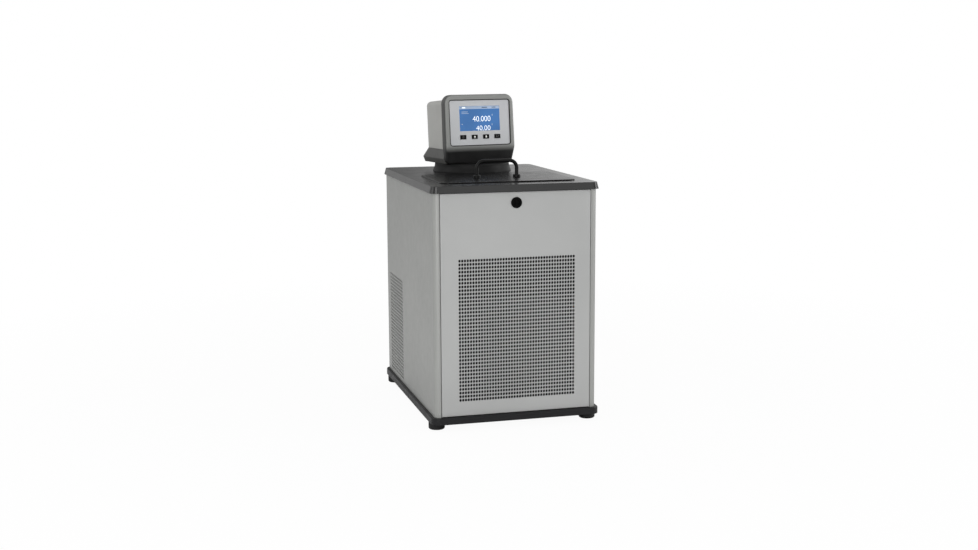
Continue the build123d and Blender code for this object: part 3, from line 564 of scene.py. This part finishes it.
def side_sheet(side, name):
    profile = side_profile(side)
    travelled = [0.0]
    for (x0, y0, _, _), (x1, y1, _, _) in zip(profile, profile[1:]):
        travelled.append(travelled[-1] + math.hypot(x1 - x0, y1 - y0))

    def place(u, v, w):
        index = max(i for i in range(len(travelled) - 1) if travelled[i] <= u + NEAR)
        share = (u - travelled[index]) / (travelled[index + 1] - travelled[index])
        here = [a + (b - a) * share for a, b in zip(profile[index], profile[index + 1])]
        x, y, nx, ny = here
        length = math.hypot(nx, ny)
        return (x - w * nx / length, y - w * ny / length, v)

    bottom, top = SIDE_LOW.z, SIDE_HIGH.z
    sheet = Sheet(place)
    # After the grille's start come its end, the points of the rear bend and the end of the fold
    after_start = BEND_STEPS + 3
    first = len(travelled) - 1 - after_start
    u0 = travelled[first]
    u_lines, v_lines = sheet.grille(u0, SIDE_GRILLE_BOTTOM, SIDE_COLUMNS, SIDE_ROWS)
    low, high = v_lines[0], v_lines[-1]
    for index, (near, far) in enumerate(zip(travelled, travelled[1:])):
        if index == first:
            continue
        left = [(near, top), (near, bottom)]
        right = [(far, bottom), (far, top)]
        if index == first - 1:
            right = [(far, bottom)] + [(far, v) for v in v_lines] + [(far, top)]
        if index == first + 1:
            left = [(near, top)] + [(near, v) for v in v_lines[::-1]] + [(near, bottom)]
        sheet.both(left + right)
    sheet.both([(u, low) for u in u_lines[::-1]] + [(u0, bottom), (u_lines[-1], bottom)])
    sheet.both([(u, high) for u in u_lines] + [(u_lines[-1], top), (u0, top)])
    fill_rim(sheet.shape)
    piece = new_piece(name + "_sheet", sheet.shape, SHEET_SIDE, "cabinet")
    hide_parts(name)


def fill_rim(shape):
    """Closes the cut edge between the front and the back skin."""
    open_edges = [edge for edge in shape.edges if len(edge.link_faces) == 1]
    bmesh.ops.bridge_loops(shape, edges=open_edges)


# Inside the cabinet

def condenser_shade_block():
    """A dark block in the foam material that closes the gap over the condenser, under the tank's
    insulation: painted shade for the unlit inside of the cabinet.
    """
    low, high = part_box("condenser")
    shape = bmesh.new()
    bmesh.ops.create_cube(shape, size=1.0)
    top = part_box("tank_insulation")[0].z
    size = Vector((SIDE_HIGH.x * 2 - 2 * FOLD, SHADE_BLOCK_DEPTH, top - high.z))
    for vert in shape.verts:
        vert.co = Vector((0, low.y + size.y / 2, (top + high.z) / 2)) + vert.co * size
    new_piece("condenser_shade_block", shape, FOAM, "cabinet")


# Display and keys

def face_matrix():
    lean = math.radians(FACE_LEAN)
    across = Vector((1, 0, 0))
    up = Vector((0, math.sin(lean), math.cos(lean)))
    out = across.cross(up)
    turned = Matrix((across, up, out)).transposed().to_4x4()
    foot = Matrix.Translation((HEAD_AXIS.x, HEAD_AXIS.y, DECK_TOP))
    swivel = Matrix.Rotation(math.radians(HEAD_TURN), 4, "Z")
    return foot @ swivel @ Matrix.Translation((0, -FACE_FRONT, 0)) @ turned


def raised(name, outline, base, height, material, body):
    """A flat shape on the head's face, from its outline in millimetres."""
    shape = bmesh.new()
    matrix = face_matrix()
    loops = []
    for level in (base, base + height):
        loops.append([shape.verts.new(matrix @ (Vector((x, y, level)) * MM)) for x, y in outline])
    shape.faces.new(loops[0][::-1])
    shape.faces.new(loops[1])
    for index in range(len(outline)):
        after = (index + 1) % len(outline)
        shape.faces.new([loops[0][index], loops[0][after], loops[1][after], loops[1][index]])
    new_piece(name, shape, material, body)


def rectangle(x0, x1, y0, y1):
    return [(x0, y0), (x1, y0), (x1, y1), (x0, y1)]


def round_outline(x, y, radius):
    count = 20
    return [
        (x + radius * math.cos(math.tau * i / count), y + radius * math.sin(math.tau * i / count))
        for i in range(count)
    ]


# The face in millimetres: across it, up it from the deck, and out of it
PANEL_WIDTH = 153.0
PANEL_RISE = (61.9, 163.4)
PANEL_CORNER = 5.0
PANEL_RECESS = 1.8
# Dark ring of painted shade in the groove round the key panel: its corner steps and its profile
GROOVE_SHADE_STEPS = 6
GROOVE_SHADE_PROFILE = ((0.1, 0.1 - PANEL_RECESS), (0.1, -0.4), (0.9, 0.15), (1.9, 0.15), (1.9, -0.2), (1.1, -0.3))
SCREEN_SIDE = 51.5
SCREEN_TOP = 150.0
SCREEN_MARGIN = 0.4
STATUS_HEIGHT = 6.4
GLASS_LEVEL = 0.02 - PANEL_RECESS
READING_LEVEL = GLASS_LEVEL + 0.08
PRINT = 0.05
THIN_PRINT = 0.04
KEY_CENTRE = 80.2
KEY_PITCH = 29.3
KEY_TOP = 0.8 - PANEL_RECESS

# Marks in the status bar as (left, right, height), labels as (left, right, foot, height)
STATUS_MARKS = [(-49, -46, 1.4), (-44, -36, 2.6), (6, 20, 1.6), (32, 42, 1.6)]
WHITE_MARK = 1
LABELS = [(-46, -30, 136.6, 1.4), (-46, -28, 133.2, 1.2), (-47, -44, 108.5, 1.8)]

# Readings as (digits, left and right, foot and top), and the degree sign beside each
READINGS = {
    "upper_reading": ("40.000", (-18.2, 27.6), (115.2, 127.2)),
    "lower_reading": ("40.00", (-10.0, 26.7), (94.6, 105.4)),
}
DEGREE_PLACE = (5.0, 2.2)
DEGREE_RING = (0.9, 1.7)


def screen_text(name, words, across, up):
    """A reading on the screen, stretched to the width and height that it fills."""
    curve = bpy.data.curves.new(name, "FONT")
    curve.body = words
    curve.extrude = 0.03
    curve.offset = -0.01
    text = bpy.data.objects.new(name, curve)
    bpy.context.scene.collection.objects.link(text)
    bpy.context.view_layer.update()
    corners = [Vector(corner) for corner in text.bound_box]
    left, right = min(c.x for c in corners), max(c.x for c in corners)
    low, high = min(c.y for c in corners), max(c.y for c in corners)
    wide, tall = (across[1] - across[0]) / (right - left), (up[1] - up[0]) / (high - low)
    spot = Vector((across[0] - left * wide, up[0] - low * tall, READING_LEVEL)) * MM
    size = Matrix.Diagonal((wide * MM, tall * MM, MM, 1))
    text.matrix_world = face_matrix() @ Matrix.Translation(spot) @ size
    curve.materials.append(SCREEN_WHITE)
    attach(text, "head")


def make_groove_shade():
    """The thin dark ring in the groove between the key panel and the frame round it: painted shade for the
    shadow in the groove.
    """
    shape = bmesh.new()
    matrix = face_matrix()
    low, high = PANEL_RISE
    rings = []
    for grow, level in GROOVE_SHADE_PROFILE:
        radius = PANEL_CORNER + grow
        reach, foot, head = PANEL_WIDTH / 2 + grow - radius, low - grow + radius, high + grow - radius
        ring = []
        for quarter, (x, y) in enumerate([(reach, head), (-reach, head), (-reach, foot), (reach, foot)]):
            for step in range(GROOVE_SHADE_STEPS + 1):
                angle = math.pi / 2 * (quarter + step / GROOVE_SHADE_STEPS)
                spot = Vector((x + radius * math.cos(angle), y + radius * math.sin(angle), level)) * MM
                ring.append(shape.verts.new(matrix @ spot))
        rings.append(ring)
    for here, after in zip(rings, rings[1:] + rings[:1]):
        for index in range(len(here)):
            other = (index + 1) % len(here)
            shape.faces.new([here[index], here[other], after[other], after[index]])
    new_piece("panel_groove_shade", shape, RUBBER, "head")


def screen_print(name, outline, height, material=SCREEN_PALE, level=GLASS_LEVEL):
    raised(name, outline, level, height, material, "head")


def make_display():
    bar = SCREEN_TOP - STATUS_HEIGHT
    side = SCREEN_SIDE - SCREEN_MARGIN
    screen_print("status_bar", rectangle(-side, side, bar, SCREEN_TOP - SCREEN_MARGIN), PRINT)
    for number, (left, right, height) in enumerate(STATUS_MARKS):
        material = SCREEN_WHITE if number == WHITE_MARK else SCREEN_DARK
        middle = bar + STATUS_HEIGHT / 2
        outline = rectangle(left, right, middle - height / 2, middle + height / 2)
        screen_print(f"status_mark_{number}", outline, THIN_PRINT, material, GLASS_LEVEL + PRINT)
    for number, (left, right, foot, height) in enumerate(LABELS):
        screen_print(f"screen_label_{number}", rectangle(left, right, foot, foot + height), THIN_PRINT)
    for name, (words, across, up) in READINGS.items():
        screen_text(name, words, across, up)
        ring = arc_band(across[1] + DEGREE_PLACE[0], up[1] + DEGREE_PLACE[1], *DEGREE_RING, 0, 360)
        screen_print(f"{name}_degree", ring, PRINT)


def key_mark(name, outline, key, material=KEY_MARK):
    raised(name, outline, KEY_TOP, PRINT, material, f"key_{key}_body")


def arc_band(x, y, inner, outer, start, end):
    """A band between two radii, from one angle to the other in degrees."""
    count = 18
    angles = [math.radians(start + (end - start) * step / count) for step in range(count + 1)]
    far = [(x + outer * math.cos(a), y + outer * math.sin(a)) for a in angles]
    near = [(x + inner * math.cos(a), y + inner * math.sin(a)) for a in angles]
    return far + near[::-1]


def make_key_marks():
    """Plain symbols printed on the keys, with a faint glow that is painted light: a switched-on ring, a
    dot over or under an arrow, a bent arrow.
    """
    power, down, up, enter = [KEY_PITCH * (index - 1.5) for index in range(4)]
    y = KEY_CENTRE
    key_mark("power_ring", arc_band(power, y, 1.6, 2.3, 125, 415), "power", KEY_MARK_DIM)
    key_mark("power_bar", rectangle(power - 0.35, power + 0.35, y + 0.5, y + 2.9), "power", KEY_MARK_DIM)
    key_mark("down_dot", round_outline(down, y + 0.4, 2.0), "down")
    key_mark("down_arrow", [(down - 1.6, y - 1.9), (down, y - 3.6), (down + 1.6, y - 1.9)], "down")
    key_mark("up_dot", round_outline(up, y - 0.4, 2.0), "up")
    key_mark("up_arrow", [(up - 1.6, y + 1.9), (up + 1.6, y + 1.9), (up, y + 3.6)], "up")
    key_mark("enter_bar", rectangle(enter - 2.2, enter + 3.4, y - 0.5, y + 0.5), "enter", KEY_MARK_DIM)
    key_mark("enter_post", rectangle(enter + 2.6, enter + 3.4, y + 0.5, y + 2.2), "enter", KEY_MARK_DIM)
    arrow = [(enter - 4.4, y), (enter - 2.2, y - 1.7), (enter - 2.2, y + 1.7)]
    key_mark("enter_arrow", arrow, "enter", KEY_MARK_DIM)


# Stage, lights and camera

def plain_world():
    """White for the camera and glass. Gloss sees it only behind and to the sides, and else a dim room."""
    world = bpy.data.worlds.new("studio")
    bpy.context.scene.world = world
    world.use_nodes = True
    tree = world.node_tree

    def node(kind, **values):
        made = tree.nodes.new(kind)
        for key, value in values.items():
            setattr(made, key, value)
        return made

    def combined(operation, first, second):
        made = node("ShaderNodeMath", operation=operation)
        tree.links.new(first, made.inputs[0])
        tree.links.new(second, made.inputs[1])
        return made.outputs[0]

    def larger(first, second):
        return combined("MAXIMUM", first, second)

    def product(first, second):
        return combined("MULTIPLY", first, second)

    def ramp(value, source, target):
        made = node("ShaderNodeMapRange")
        for name, number in zip(("From Min", "From Max", "To Min", "To Max"), source + target):
            made.inputs[name].default_value = number
        tree.links.new(value, made.inputs["Value"])
        return made.outputs["Result"]

    path = node("ShaderNodeLightPath").outputs
    direction = node("ShaderNodeSeparateXYZ")
    tree.links.new(node("ShaderNodeTexCoord").outputs["Generated"], direction.inputs["Vector"])
    behind = ramp(direction.outputs["Y"], GLOSS_BEHIND, (0, 1))
    right_side = ramp(direction.outputs["X"], GLOSS_RIGHT, (0, 1))
    left_side = ramp(direction.outputs["X"], GLOSS_LEFT, (0, GLOSS_LEFT_LEVEL))
    backdrop = product(behind, larger(right_side, left_side))
    gloss = product(path["Is Glossy Ray"], ramp(backdrop, (0, 1), (GLOSS_ROOM, 1)))
    seen = larger(larger(path["Is Camera Ray"], path["Is Transmission Ray"]), gloss)
    diffuse = ramp(path["Is Diffuse Ray"], (0, 1), (0, WORLD_LIGHT))
    background = tree.nodes["Background"]
    background.inputs["Color"].default_value = (1, 1, 1, 1)
    tree.links.new(larger(seen, diffuse), background.inputs["Strength"])


def pale_floor():
    """A pale floor that keeps the shadow, and that the camera sees fade to white further off."""
    mesh = bpy.data.meshes.new("floor")
    corners = [(x * FLOOR_REACH, y * FLOOR_REACH, 0) for x, y in rectangle(-1, 1, -1, 1)]
    mesh.from_pydata(corners, [], [(0, 1, 2, 3)])
    floor = bpy.data.objects.new("floor", mesh)
    bpy.context.scene.collection.objects.link(floor)
    made = Surface("floor", 0.9)
    made.colour((0.80, 0.80, 0.80), (0.82, 0.82, 0.82), made.noise(3.0))
    tree, links = made.tree, made.tree.links
    path = made.add("ShaderNodeLightPath")
    white = made.add("ShaderNodeEmission")
    mix = made.add("ShaderNodeMixShader")
    away = made.add("ShaderNodeVectorMath", operation="LENGTH")
    links.new(made.place, away.inputs[0])
    share = made.add("ShaderNodeMath", operation="MULTIPLY")
    links.new(made.range(away.outputs["Value"], FLOOR_WHITE, 1.0, *FLOOR_FADE), share.inputs[1])
    links.new(path.outputs["Is Camera Ray"], share.inputs[0])
    links.new(share.outputs[0], mix.inputs["Fac"])
    links.new(made.shader.outputs[0], mix.inputs[1])
    links.new(white.outputs[0], mix.inputs[2])
    links.new(mix.outputs[0], tree.nodes["Material Output"].inputs["Surface"])
    mesh.materials.append(made.material)


def soft_light(name, place, target, size, power):
    data = bpy.data.lights.new(name, "AREA")
    data.shape = "RECTANGLE"
    data.size, data.size_y = size
    data.energy = power
    lamp = bpy.data.objects.new(name, data)
    bpy.context.scene.collection.objects.link(lamp)
    lamp.location = place
    lamp.rotation_euler = (Vector(target) - Vector(place)).to_track_quat("-Z", "Y").to_euler()


def make_lights():
    for name, (place, target, size, power) in LAMPS.items():
        soft_light(name, place, target, size, power)


def make_camera():
    data = bpy.data.cameras.new("camera")
    data.lens = CAMERA_LENS
    data.sensor_width = SENSOR_WIDTH
    camera = bpy.data.objects.new("camera", data)
    bpy.context.scene.collection.objects.link(camera)
    yaw, down, roll = map(math.radians, (CAMERA_YAW, CAMERA_DOWN, CAMERA_ROLL))
    ahead = Vector((math.sin(yaw) * math.cos(down), math.cos(yaw) * math.cos(down), -math.sin(down)))
    right = Vector((math.cos(yaw), -math.sin(yaw), 0))
    up = right.cross(ahead)
    tilted_right = right * math.cos(roll) + up * math.sin(roll)
    tilted_up = up * math.cos(roll) - right * math.sin(roll)
    turn = Matrix((tilted_right, tilted_up, -ahead)).transposed()
    camera.matrix_world = Matrix.Translation(CAMERA_PLACE) @ turn.to_4x4()
    bpy.context.scene.camera = camera


bpy.context.scene.view_settings.view_transform = "Standard"
make_camera()
plain_world()
pale_floor()
make_lights()
paint_cad_nodes()
front_sheet()
side_sheet(-1, "side_panel_left")
side_sheet(1, "side_panel_right")
condenser_shade_block()
make_groove_shade()
make_display()
make_key_marks()
